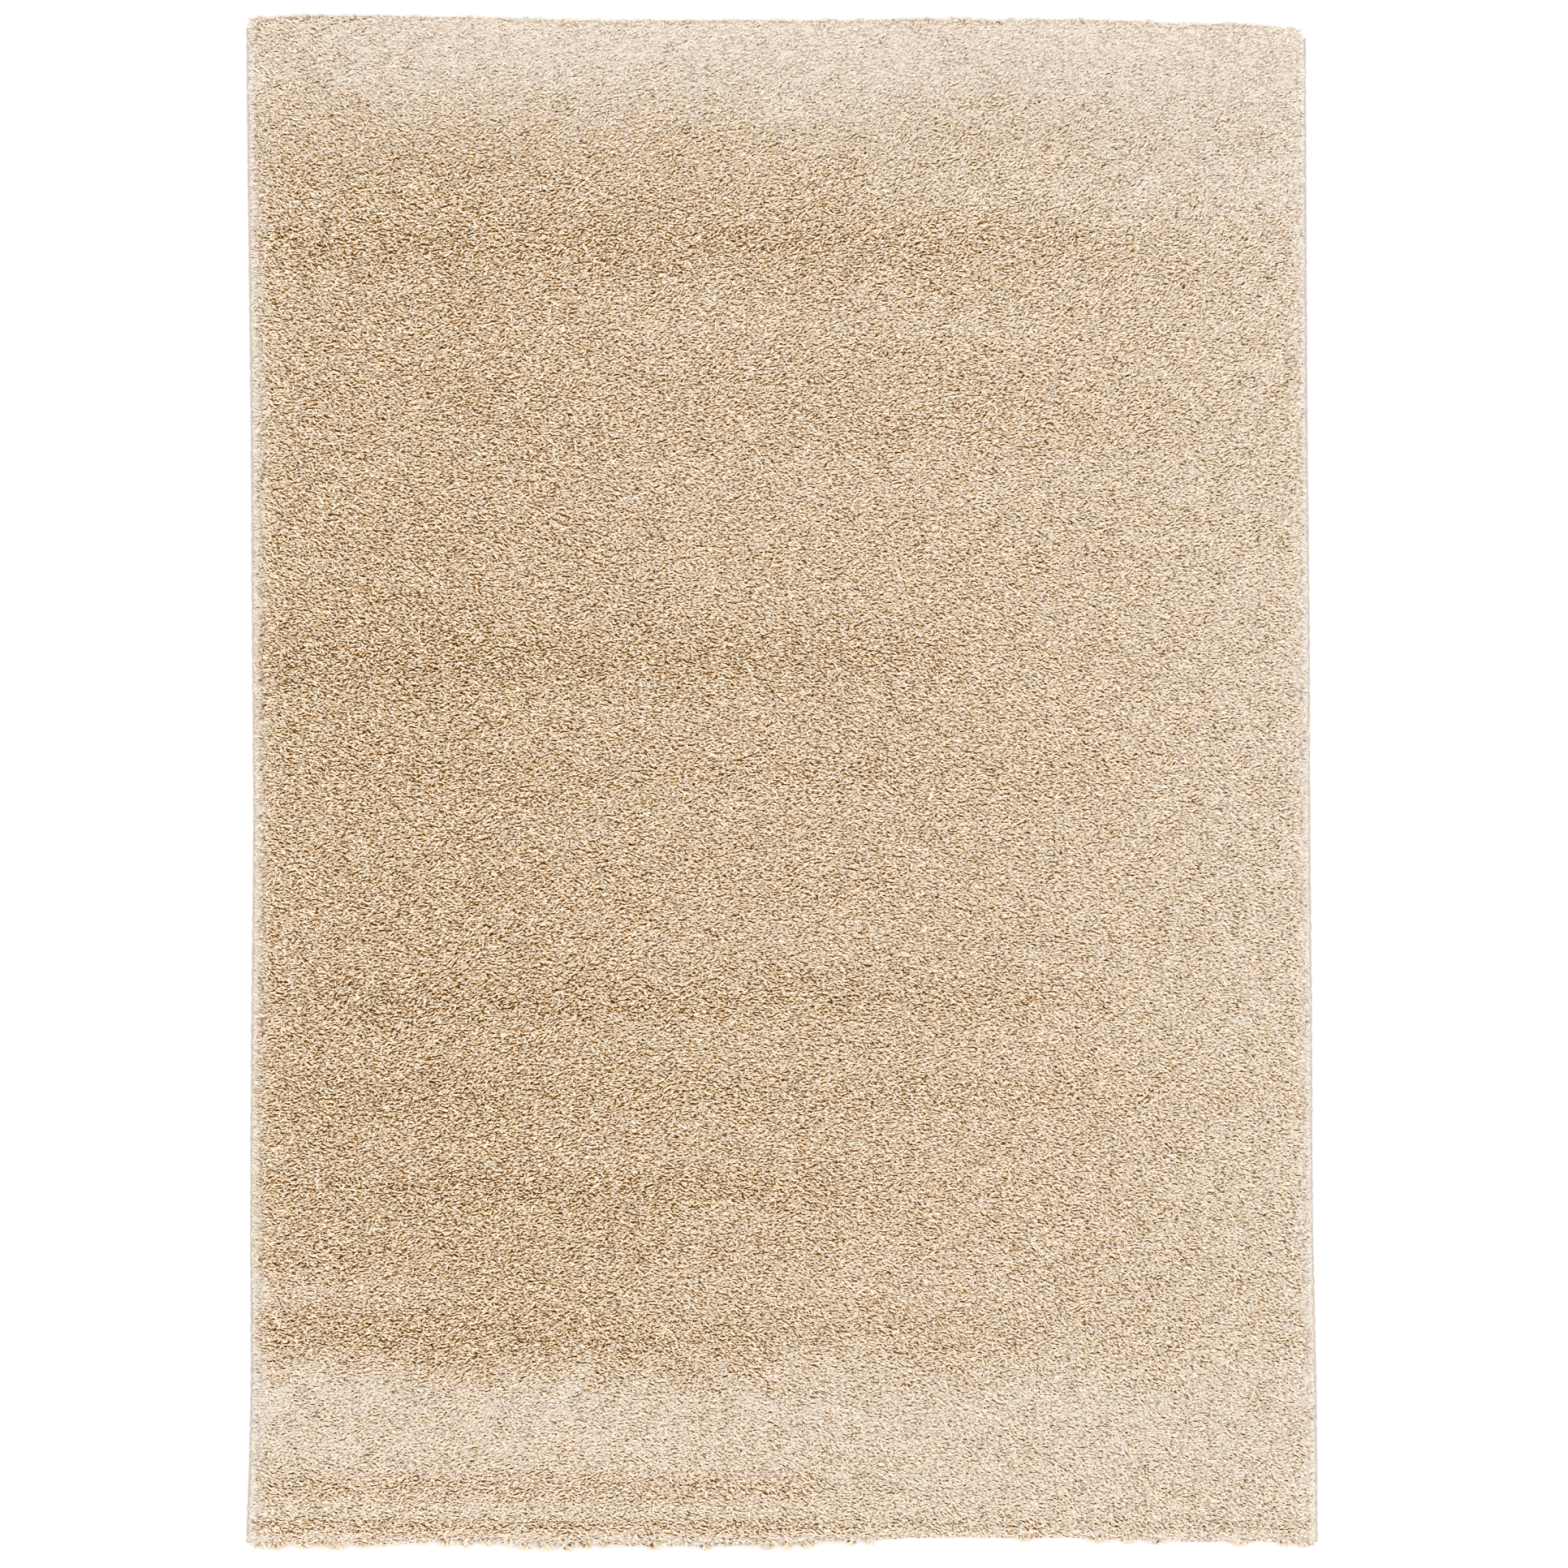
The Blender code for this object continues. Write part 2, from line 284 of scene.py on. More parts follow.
def lay(x, y):
    """The line along which the strands lie, as an angle from the X way: read between strips that were
    combed differently, each with its own run of angles from left to right."""
    angles = np.array([np.interp(x, LAY_ACROSS, strip) for strip in LAY_ANGLES])
    place = np.interp(y, LAY_ALONG, np.arange(len(LAY_ALONG)))
    low = np.clip(place.astype(int), 0, len(LAY_ALONG) - 2)
    share = ease(place - low, 0, 1)
    index = np.arange(x.size)
    angles = angles.reshape(len(LAY_ALONG), -1)
    low, share = low.ravel(), share.ravel()
    mixed = angles[low, index] * (1 - share) + angles[low + 1, index] * share
    return np.radians(mixed.reshape(x.shape))


def heading(x, y, chance):
    """The way each strand runs: along the line of the lay give or take a scatter that is narrower to the
    right, most tips to the right, and turned outwards at the rim."""
    loose = np.radians(np.interp(x, (-0.8, -0.3, 0.3, 0.8), (34, 28, 22, 19)))
    angle = lay(x, y) + 0.22 * drift(x, y, 0.070, 21) + loose * chance.normal(0, 1, x.shape)
    back = chance.uniform(0, 1, x.shape) < np.interp(x, (-0.8, 0.8), (0.48, 0.22))
    angle = angle + np.pi * back
    near = ease(margin(x, y, 1.0), 0.026, 0.004)
    east = np.cos(angle) + near * 1.6 * np.where(x < 0, -1, 1) * ease(np.abs(x), 0.76, 0.80)
    north = np.sin(angle) + near * 1.6 * np.where(y < 0, -1, 1) * ease(np.abs(y), 1.12, 1.15)
    return np.arctan2(north, east)


def piece(name, places, faces, marks=None, maps=None, smooth=True):
    """One mesh at the origin, straight from whole arrays: corner places, a list of face arrays of one
    width each, numbers held at the vertices and maps held at the face corners."""
    mesh = bpy.data.meshes.new(name)
    mesh.vertices.add(len(places))
    mesh.vertices.foreach_set("co", np.ascontiguousarray(places, np.float32).ravel())
    widths = np.concatenate([np.full(len(group), group.shape[1]) for group in faces]).astype(np.int32)
    mesh.loops.add(int(widths.sum()))
    corners = np.concatenate([group.ravel() for group in faces]).astype(np.int32)
    mesh.loops.foreach_set("vertex_index", corners)
    mesh.polygons.add(len(widths))
    mesh.polygons.foreach_set("loop_start", np.concatenate([[0], np.cumsum(widths)[:-1]]).astype(np.int32))
    mesh.polygons.foreach_set("use_smooth", np.full(len(widths), smooth))
    mesh.update(calc_edges=True)
    for key, values in (marks or {}).items():
        held = mesh.attributes.new(key, "FLOAT", "POINT")
        held.data.foreach_set("value", np.ascontiguousarray(values, np.float32))
    for key, values in (maps or {}).items():
        layer = mesh.uv_layers.new(name=key, do_init=False)
        layer.uv.foreach_set("vector", np.ascontiguousarray(values, np.float32).ravel())
    thing = bpy.data.objects.new(name, mesh)
    bpy.context.scene.collection.objects.link(thing)
    return thing


def grid_faces(across, along):
    """Quads of a grid of (along + 1) rows of (across + 1) points, facing up when both run positive."""
    start = (np.arange(along)[:, None] * (across + 1) + np.arange(across)).ravel()
    return np.stack([start, start + 1, start + across + 2, start + across + 1], 1)


def rim_of(across, along):
    """Indices of such a grid's border, once round, anticlockwise from the first corner."""
    row = across + 1
    return np.concatenate([
        np.arange(across), np.arange(along) * row + across,
        (along * row + across) - np.arange(across), (along - np.arange(along)) * row,
    ])


def skirt_faces(rims):
    """Quads that join each closed ring of points to the next one, which lies lower, facing outwards."""
    upper, lower = np.stack(rims[:-1]), np.stack(rims[1:])
    quads = np.stack([upper, lower, np.roll(lower, -1, 1), np.roll(upper, -1, 1)], 2)
    return quads.reshape(-1, 4)


def corner_map(faces, u, v):
    """A map at the face corners from two shares held at the vertices."""
    corners = np.concatenate([group.ravel() for group in faces])
    return np.stack([u[corners], v[corners]], 1)


def crowded(count, power):
    """Shares from 0 to 1, closer together at both ends by the sine rule mixed with even steps."""
    even = np.linspace(0, 1, count + 1)
    return even * (1 - power) + power * (1 - np.cos(np.pi * even)) / 2


def make_bed():
    """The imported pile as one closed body: a grid over the crown whose height is bed_height, four rings down
    the wall and a flat underside on the cloth."""
    across, along = BED_CELLS
    u, v = np.meshgrid(crowded(across, 0.35), crowded(along, 0.35))
    x, y = spread(u, v, 1.0, BED_INSET)
    tops = np.stack([x, y, bed_height(x, y)], 2).reshape(-1, 3)
    rim = rim_of(across, along)
    rings, levels, shares = [rim], [tops], [np.stack([u.ravel(), v.ravel()], 1)]
    count = len(tops)
    for height, reach, inset in BED_WALL:
        wall_x, wall_y = spread(u.ravel()[rim], v.ravel()[rim], reach, inset)
        ripple = 0.0006 * drift(wall_x, wall_y, 0.025, 8)
        out_x, out_y = outward_at(u.ravel()[rim], v.ravel()[rim])
        if height > CLOTH_TOP + 0.001:
            wall_x, wall_y = wall_x + ripple * out_x, wall_y + ripple * out_y
        levels.append(np.stack([wall_x, wall_y, np.full(len(rim), height)], 1))
        shares.append(shares[0][rim])
        rings.append(np.arange(len(rim)) + count)
        count += len(rim)
    places, shares = np.concatenate(levels), np.concatenate(shares)
    faces = [grid_faces(across, along), skirt_faces(rings), rings[-1][::-1][None]]
    x, y = places[:, 0], places[:, 1]
    span = np.ptp(places, axis=0)
    flat = (places[:, :2] - places[:, :2].min(0)) / span[:2]
    depth = np.clip(places[:, 2] / BED_CROWN, 0, 1)
    # The mark light carries the painted lay shading, and depth the height by which the pile is painted darker
    # lower down as shade
    marks = {"light": painted_lay_shading(x, y), "depth": depth, "lay": lay(x, y), "contrast": contrast(x, y)}
    u_map, v_map = (MAP_START + MAP_SIZE * flat).T
    return piece("pile_bed", places, faces, marks, {"OFBake": corner_map(faces, u_map, v_map)})


def outward_at(u, v):
    """The way out of the rug at places on its border: across at the sides, along at the ends, turning
    through the corners."""
    across = np.sign(u - 0.5) * ease(np.abs(u - 0.5), 0.493, 0.5)
    along = np.sign(v - 0.5) * ease(np.abs(v - 0.5), 0.495, 0.5)
    length = np.maximum(np.hypot(across, along), 1e-6)
    return across / length, along / length


def strand_pattern(rings, blunt):
    """Faces of one strand with the shares (round, along) of each face corner, along being a ring number."""
    faces, shares = [], []
    for side in range(RING):
        after = (side + 1) % RING
        u0, u1 = side / RING, (side + 1) / RING
        faces.append((0, 1 + after, 1 + side))
        shares.append(((u0 + u1) / 2, u1, u0))
        for ring in range(rings - 1):
            low, high = 1 + ring * RING, 1 + (ring + 1) * RING
            faces += [(low + side, high + after, high + side), (low + side, low + after, high + after)]
            shares += [(u0, u1, u0), (u0, u1, u1)]
        if not blunt:
            last = 1 + (rings - 1) * RING
            faces.append((last + side, last + after, 1 + rings * RING))
            shares.append((u0, u1, (u0 + u1) / 2))
    if blunt:
        last = 1 + (rings - 1) * RING
        faces.append((last, last + 1, last + 2))
        shares.append((0.1, 0.5, 0.9))
    return np.array(faces), np.array(shares)


def make_strands(name, root, way, run, rise, drop, curl, width, stations, widths, blunt, light, shade,
                 chance):
    """Strands of yarn as closed bodies. The middle line leaves the root and runs along way, bowing
    sideways by a half sine and upwards by a sine that is past its top at the tip, and sinking by the square
    of the way gone; each ring is three points round it, across and above the line. Every strand's map fills
    one cell, chosen by its contrast, its tone and the painted lay shading it takes, round by along."""
    count = len(root)
    up = np.array([0.0, 0.0, 1.0])
    way3 = np.stack([np.cos(way), np.sin(way), np.zeros(count)], 1)
    side3 = np.stack([-np.sin(way), np.cos(way), np.zeros(count)], 1)

    def middle(t):
        forward = run * (0.18 * t + 0.82 * t**1.35)
        height = rise * np.sin(0.62 * np.pi * t) - drop * t**2
        aside = curl * np.sin(np.pi * t)
        return root + way3 * forward[:, None] + side3 * aside[:, None] + up * height[:, None]

    twist = chance.uniform(-0.35, 0.35, count)
    points, along = [middle(0.0)], [0.0]
    for t, wide in zip(stations, widths):
        tangent = middle(t + 0.04) - middle(t - 0.04)
        tangent /= np.linalg.norm(tangent, axis=1)[:, None]
        flank = np.cross(tangent, up)
        flank /= np.linalg.norm(flank, axis=1)[:, None]
        over = np.cross(flank, tangent)
        for corner in range(RING):
            turn = np.pi * (5 / 6 - 2 * corner / RING) + twist
            reach = (width * wide / 2)[:, None]
            out = flank * np.cos(turn)[:, None] + over * np.sin(turn)[:, None]
            points.append(middle(t) + reach * out)
            along.append(t)
    if not blunt:
        points.append(middle(1.0))
        along.append(1.0)
    points, along = np.stack(points, 1), np.array(along)
    faces, around = strand_pattern(len(stations), blunt)
    size = points.shape[1]
    everywhere = (faces[None] + np.arange(count)[:, None, None] * size).reshape(-1, 3)
    lengthwise = along[faces]
    if blunt:
        lengthwise = lengthwise * 0.9
        lengthwise[-1] = (0.94, 1.0, 0.94)
    # Contrast and the painted lay shading fall between two of their steps: one of the two is drawn by lot
    step = (contrast(root[:, 0], root[:, 1]) - CONTRASTS[0]) / (CONTRASTS[1] - CONTRASTS[0])
    step = np.clip(np.floor(step + chance.uniform(0, 1, count)), 0, len(CONTRASTS) - 1)
    uneven = np.clip(light * LIGHTS + chance.uniform(-0.5, 0.5, count), 0, LIGHTS - 0.001)
    level = np.stack([np.floor(shade * SHADES), np.floor(uneven)], 1)
    cell = level + np.stack([step * SHADES, 0 * step], 1)
    within = PADS[0] + PADS[1] * np.stack([around, lengthwise], 2)
    bake = (cell[:, None, None, :] + within[None]) / (SHADES * len(CONTRASTS), LIGHTS)
    # The mark light carries the painted lay shading to the yarn's colours
    marks = {
        "along": np.tile(along, count),
        "shade": np.repeat((level[:, 0] + 0.5) / SHADES, size),
        "light": np.repeat((level[:, 1] + 0.5) / LIGHTS, size),
        "contrast": np.repeat(np.array(CONTRASTS)[step.astype(int)], size),
    }
    thread = np.broadcast_to(np.stack([around, along[faces]], 2)[None], (count, len(faces), 3, 2))
    maps = {"strand": thread.reshape(-1, 2), "OFBake": bake.reshape(-1, 2)}
    return piece(name, points.reshape(-1, 3), [everywhere], marks, maps, smooth=False)


def scatter(count, chance, inset):
    """Places strewn evenly over the pile: a grid of about that many cells with each place moved by up to
    0.45 of a cell."""
    across = int(round((count * WIDTH / LENGTH) ** 0.5))
    along = int(round(count / across))
    u, v = np.meshgrid((np.arange(across) + 0.5) / across, (np.arange(along) + 0.5) / along)
    u = (u + chance.uniform(-0.45, 0.45, u.shape) / across).ravel()
    v = (v + chance.uniform(-0.45, 0.45, v.shape) / along).ravel()
    return spread(np.clip(u, 0, 1), np.clip(v, 0, 1), 1.0, inset)


def make_field(name, count, seed, length, width, rise, stations, widths, blunt):
    """Loose yarn over the whole crown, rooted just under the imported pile's surface."""
    chance = np.random.default_rng(seed)
    x, y = scatter(count, chance, BED_INSET + 0.002)
    total = len(x)
    root = np.stack([x, y, bed_height(x, y) - ROOT_DEPTH], 1)
    run = length * chance.uniform(0.65, 1.35, total)
    past, gather, inside = overhang(x, y)
    run = np.minimum(run, inside + np.clip(past, -0.004, 0.003) + 0.0015)
    lift = rise * chance.uniform(0.35, 1.3, total) + 0.0024
    curl = run * chance.normal(0, 0.24, total)
    thick = width * chance.uniform(0.8, 1.2, total)
    shade = np.clip(chance.normal(0.5, 0.24, total) + 0.12 * drift(x, y, 0.030, 31), 0, 0.999)
    way = heading(x, y, chance) + gather * ease(inside, 0.022, 0.006)
    return make_strands(name, root, way, run, lift, 0.0, curl, thick, stations, widths,
                        blunt, painted_lay_shading(x, y), shade, chance)


def tufts(places, size, seed):
    """Tufts side by side along an edge, uneven in width: for each place, how far it lies from the middle of
    its tuft (-0.5 to 0.5) and a random number that the whole tuft shares."""
    count = places / size + 0.25 * drift(places, 0 * places, size * 3.1, seed)
    whole = np.floor(count)
    own = np.random.default_rng(seed).uniform(0, 1, PRIME)[whole.astype(int) % PRIME]
    return count - whole - 0.5, own


def overhang(x, y):
    """How the pile hangs out over its nearest edge: how far past its widest outline, how far the tips turn
    sideways to gather in the middle of their tuft, and how far inside that outline the place lies. Tufts
    hang over the left of the bottom end, few over the hem at its right, small ones over the top end."""
    gaps = np.stack([x - edge("left", y, 1.0), edge("right", y, 1.0) - x,
                     y - edge("bottom", x, 1.0), edge("top", x, 1.0) - y])
    corner = ease(np.abs(x), 0.765, 0.792)
    low_off, low_own = tufts(x, LOW_TUFT, 41)
    high_off, high_own = tufts(x, HIGH_TUFT, 44)
    low_tuft, high_tuft = np.cos(np.pi * low_off), np.cos(np.pi * high_off)
    hem = ease(x, 0.13, 0.19) * (1 - corner)
    full = -0.0085 - 0.0035 * ease(x, -0.50, -0.35) + 0.0240 * low_tuft * (0.50 + 0.50 * low_own)
    full = full + 0.0030 * corner
    sparse = -0.0040 + 0.0125 * low_tuft * (low_own > 0.75)
    bottom = full * (1 - hem) + sparse * hem
    top = -0.0020 + 0.0065 * high_tuft * (0.2 + 0.8 * high_own) + 0.0040 * corner * (x < 0)
    wave = 0.0010 * drift(0 * x, y, 0.026, 43)
    nearest = gaps.argmin(0)
    past = np.choose(nearest, [0.0095 + wave, 0.0060 + wave, bottom, top])
    gather = np.choose(nearest, [0 * x, 0 * x, -1.2 * low_off, 1.0 * high_off])
    return past, gather, gaps.min(0)


def make_rim(name, count, seed):
    """Yarn that hangs out over the four edges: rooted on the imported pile's shoulder and wall, running
    outwards and sinking, as far as the overhang goes, and at the sides down on the serged bands. The roots
    are shared out once round the rug, along the bottom, up the right, back along the top and down the
    left."""
    chance = np.random.default_rng(seed)
    half = WIDTH / (WIDTH + LENGTH) / 2
    share = (np.arange(count) + chance.uniform(-0.5, 0.5, count)) / count
    share = (share * PRIME) % 1.0
    stretch = [share < half, share < 0.5, share < 0.5 + half]
    u = np.select(stretch, [share / half, 1.0 + 0 * share, 1 - (share - 0.5) / half], 0.0)
    v = np.select(stretch, [0.0 * share, (share - half) / (0.5 - half), 1.0 + 0 * share],
                  1 - (share - 0.5 - half) / (0.5 - half))
    out_x, out_y = outward_at(u, v)
    ends = np.abs(out_y) > 0.5
    level = chance.uniform(0, 1, count)
    x, y = spread(u, v, 1.0, 0.0015 + 0.0105 * level)
    height = 0.0060 + 0.0115 * level
    past, gather, inside = overhang(x, y)
    stray = chance.normal(0, 0.30, count) + 0.3 * drift(x, y, 0.030, 42)
    way = np.arctan2(out_y, out_x) + gather + stray
    run = (inside + past) * chance.uniform(0.78, 1.06, count) / np.cos(np.clip(gather + stray, -0.8, 0.8))
    lift = 0.0015 + 0.0030 * chance.uniform(0, 1, count)
    tip = np.where(ends, 0.0040, 0.0062) + 0.0045 * level * chance.uniform(0, 1, count)
    curl = run * chance.normal(0, 0.20, count)
    thick = (RIM_WIDTH + RIM_EXTRA * (out_y < -0.5)) * chance.uniform(0.8, 1.2, count)
    # Painted shade: rim strands take the painted lay shading darker at both ends and a little at the sides,
    # in a darker tone at the ends
    shade = np.clip(chance.normal(0.60, 0.20, count) - 0.13 * ends, 0, 0.999)
    darker = np.select([out_y < -0.5, out_y > 0.5], [0.30, 0.18], 0.04)
    pale = np.clip(painted_lay_shading(x, y) - darker, 0, 0.999)
    root = np.stack([x, y, height], 1)
    return make_strands(name, root, way, run, lift, height + 0.93 * lift - tip, curl, thick,
                        (0.42, 0.86), (1.1, 0.95), True, pale, shade, chance)


def make_cloth():
    """The woven ground cloth as one thin closed sheet on the floor: a top grid and an underside grid with
    the same border, the underside one step higher between the hems, where the cloth is single."""
    across, along = 36, 84
    u, v = np.meshgrid(np.linspace(0, 1, across + 1), crowded(along, 0.92))
    x, y = spread(u, v, 0.0, CLOTH_INSET)
    low, high = edge("bottom", x, 0, CLOTH_INSET), edge("top", x, 0, CLOTH_INSET)
    from_end = np.minimum(y - low, high - y)
    single = ease(from_end, HEM_WIDTH - 0.001, HEM_WIDTH + 0.002)
    top = np.stack([x, y, CLOTH_TOP - 0.0004 * single], 2).reshape(-1, 3)
    under = np.stack([x, y, HEM_STEP * single], 2).reshape(-1, 3)
    rim = rim_of(across, along)
    waist = 0.5 * (top[rim] + under[rim])
    out_x, out_y = outward_at(u.ravel()[rim], v.ravel()[rim])
    waist[:, 0] += 0.0006 * out_x
    waist[:, 1] += 0.0006 * out_y
    places = np.concatenate([top, waist, under])
    middle = np.arange(len(rim)) + len(top)
    below = rim + len(top) + len(rim)
    floor_faces = grid_faces(across, along)[:, ::-1] + len(top) + len(rim)
    faces = [grid_faces(across, along), floor_faces, skirt_faces([rim, middle, below])]
    flat = (places[:, :2] - places[:, :2].min(0)) / np.ptp(places[:, :2], axis=0)
    beneath = np.arange(len(places)) >= len(top) + len(rim)
    u_map = np.where(beneath, 0.51 + 0.48 * flat[:, 0], MAP_START + 0.48 * flat[:, 0])
    maps = corner_map(faces, u_map, MAP_START + MAP_SIZE * flat[:, 1])
    # The border's own faces lie in a strip between the two halves
    wall = len(faces[0]) * 4 + len(faces[1]) * 4
    step = np.repeat(np.arange(2 * len(rim)) % len(rim), 4)
    corner = np.tile([0, 0, 1, 1], 2 * len(rim))
    lower = np.repeat(np.arange(2 * len(rim)) // len(rim), 4) + np.tile([0, 1, 1, 0], 2 * len(rim))
    maps[wall:, 0] = 0.494 + 0.006 * lower
    maps[wall:, 1] = MAP_START + MAP_SIZE * (step + corner) / len(rim)
    hem = np.concatenate([from_end.ravel(), np.zeros(len(rim)), from_end.ravel()])
    return piece("ground_cloth", places, faces, {"from_end": hem}, {"OFBake": maps})


def make_serging(name, side, way):
    """An overcast edge: a flat rounded section carried along the side, swelling once for each turn of the
    thread, the swell leaning along the side as it goes over the top."""
    lows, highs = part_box(name)
    start, end = lows[1] + 0.0004, highs[1] - 0.0004
    turns = int((end - start) / TURN)
    steps = turns * TURN_STEPS
    y = np.linspace(start, end, steps + 1)
    centre = edge(side, y) + way * (BAND_HALF + 0.0002)
    around = np.linspace(0, 2 * np.pi, 9)[:-1]
    cosine, sine = np.cos(around), np.sin(around)
    flat_x = np.sign(cosine) * np.abs(cosine) ** 0.55
    flat_z = np.sign(sine) * np.abs(sine) ** 0.70
    unevenness = 0.12 * drift(y[:, None], flat_x * 0.003, 0.05, 51)
    lean = y[:, None] / TURN + 0.35 * flat_x * way + unevenness
    swell = 0.5 + 0.5 * np.cos(2 * np.pi * lean)
    wander = 0.0004 * drift(y, y * 0, 0.018, 52)
    out_x = (BAND_HALF - 0.0007 * (1 - swell)) * flat_x
    out_z = (BAND_THICK - 0.00045 * (1 - swell)) * flat_z
    places = np.stack([
        (centre + wander)[:, None] + out_x,
        np.broadcast_to(y[:, None], out_x.shape),
        np.maximum(0.0025 + out_z, 0.0),
    ], 2)
    ring = len(around)
    index = np.arange((steps + 1) * ring).reshape(steps + 1, ring)
    quads = np.stack([index[:-1], index[1:], np.roll(index[1:], -1, 1), np.roll(index[:-1], -1, 1)], 2)
    faces = [quads.reshape(-1, 4), index[0][None], index[-1][::-1][None]]
    # The map's columns lie side by side, with the two end caps above them
    u = np.arange(ring + 1) / ring
    row = np.repeat(np.arange(steps), ring)
    spot = np.tile(np.arange(ring), steps)
    per_column = int(np.ceil(steps / COLUMNS))
    column, place = row // per_column, row % per_column
    u_all = np.stack([u[spot], u[spot], u[spot + 1], u[spot + 1]], 1)
    u_all = (column[:, None] + 0.08 + 0.84 * u_all) / COLUMNS
    v_all = MAP_START + 0.96 * (place[:, None] + np.array([0, 1, 1, 0])) / per_column
    cap = np.stack([0.5 + 0.004 * cosine, 0.985 + 0.004 * sine], 1)
    maps = np.concatenate([np.stack([u_all, v_all], 2).reshape(-1, 2), cap, cap[::-1] + (0.1, 0.0)])
    return piece(name.replace("edge", "thread"), places.reshape(-1, 3), faces,
                 {"swell": swell.ravel()}, {"OFBake": maps})


class Shade:
    """One socket of the material being made, so that shader sums read as plain expressions."""

    tree = None

    def __init__(self, socket):
        self.socket = socket

    @classmethod
    def of(cls, kind, settings=None, inputs=None, output=0):
        """Any node: its settings are set first, then its sockets are given values or links. Of sockets that
        share a name, the one in use is meant."""
        node = cls.tree.nodes.new(kind)
        for key, value in (settings or {}).items():
            if key == "stops":
                ramp = node.color_ramp
                while len(ramp.elements) < len(value):
                    ramp.elements.new(0.5)
                for element, (place, colour) in zip(ramp.elements, value):
                    element.position, element.color = place, (*colour, 1.0)
            else:
                setattr(node, key, value)
        named = {socket.name: socket for socket in node.inputs if socket.enabled}
        for key, value in (inputs or {}).items():
            socket = node.inputs[key] if isinstance(key, int) else named[key]
            if isinstance(value, Shade):
                cls.tree.links.new(value.socket, socket)
            else:
                socket.default_value = value
        if isinstance(output, str):
            return cls(node.outputs[output])
        return cls([socket for socket in node.outputs if socket.enabled][output])

    def maths(self, operation, *others):
        inputs = dict(enumerate((self, *others)))
        return Shade.of("ShaderNodeMath", {"operation": operation}, inputs)

    def __add__(self, other):
        return self.maths("ADD", other)

    def __sub__(self, other):
        return self.maths("SUBTRACT", other)

    def __rsub__(self, other):
        return (self * -1.0).maths("ADD", other)

    def __mul__(self, other):
        return self.maths("MULTIPLY", other)

    __radd__, __rmul__ = __add__, __mul__

    def held(self, low=0.0, high=1.0):
        return self.maths("MAXIMUM", low).maths("MINIMUM", high)

    def part(self, name):
        """One of the three numbers of a vector or colour."""
        return Shade.of("ShaderNodeSeparateXYZ", None, {0: self}, name)


def mark(name):
    """A number held at the vertices."""
    return Shade.of("ShaderNodeAttribute", {"attribute_name": name}, None, "Fac")


def vector(x, y, z=0.0):
    return Shade.of("ShaderNodeCombineXYZ", None, {"X": x, "Y": y, "Z": z})


def noise(place, scale, detail=2.0):
    return Shade.of("ShaderNodeTexNoise", None, {"Vector": place, "Scale": scale, "Detail": detail}, "Fac")


def ramp(value, stops):
    return Shade.of("ShaderNodeValToRGB", {"stops": stops}, {"Fac": value})


def bump(height, distance):
    return Shade.of("ShaderNodeBump", None, {"Height": height, "Distance": distance})


def material(name, roughness, sheen=0.0, specular=0.2):
    """A bare material with its steady numbers set on the shader's own sockets."""
    made = bpy.data.materials.new(name)
    made.use_nodes = True
    Shade.tree = made.node_tree
    shader = made.node_tree.nodes["Principled BSDF"]
    shader.inputs["Roughness"].default_value = roughness
    shader.inputs["Specular IOR Level"].default_value = specular
    shader.inputs["Sheen Weight"].default_value = sheen
    shader.inputs["Sheen Roughness"].default_value = 0.5
    return made, shader


def wire(shader, socket, value):
    Shade.tree.links.new(value.socket, shader.inputs[socket])


# The colours of the pile from a dark gap, painted as shade, to a pale tip: a shaded copy for where it lies in
# painted shade and a lit copy for where it lies in painted light
SHADED_STOPS = (
    (0.00, (0.056, 0.021, 0.001)),
    (0.30, (0.112, 0.033, 0.001)),
    (0.39, (0.212, 0.080, 0.003)),
    (0.51, (0.445, 0.258, 0.063)),
    (0.60, (0.597, 0.423, 0.223)),
    (0.69, (0.701, 0.552, 0.376)),
    (0.81, (0.807, 0.665, 0.491)),
    (1.00, (1.000, 0.939, 0.807)),
)
LIT_STOPS = (
    (0.00, (0.056, 0.022, 0.002)),
    (0.30, (0.112, 0.034, 0.002)),
    (0.39, (0.212, 0.089, 0.012)),
    (0.51, (0.429, 0.292, 0.130)),
    (0.60, (0.571, 0.456, 0.332)),
    (0.69, (0.658, 0.578, 0.497)),
    (0.81, (0.776, 0.708, 0.631)),
    (1.00, (1.000, 0.965, 0.896)),
)
# How far the painted lay shading moves the yarn along its run of colours
LIGHT_GAIN = 0.270


def yarn_colour(pattern):
    """The colour of pile yarn: from dark brown gaps, painted as shade, to pale tips, read further along where
    the painted lay shading is lighter, and with less contrast and the lit copy's more neutral run of colours
    there."""
    light = mark("light")
    pattern = (pattern * mark("contrast")).maths("MINIMUM", 0.50)
    # Painted shade: dark gaps are drawn out deeper than pale tips are raised
    pattern = (pattern - pattern * pattern) * (1.98 - light * 1.70)
    value = (pattern + 0.640 + (light - 0.5) * LIGHT_GAIN).held()
    # The lit copy's share: more where the painted lay shading is lighter, less where contrast is higher
    neutral = (light * 1.8 - 0.52 - (mark("contrast") - 1.0) * 0.75).held()
    inputs = {"Factor": neutral, "A": ramp(value, SHADED_STOPS), "B": ramp(value, LIT_STOPS)}
    return Shade.of("ShaderNodeMix", {"data_type": "RGBA"}, inputs)


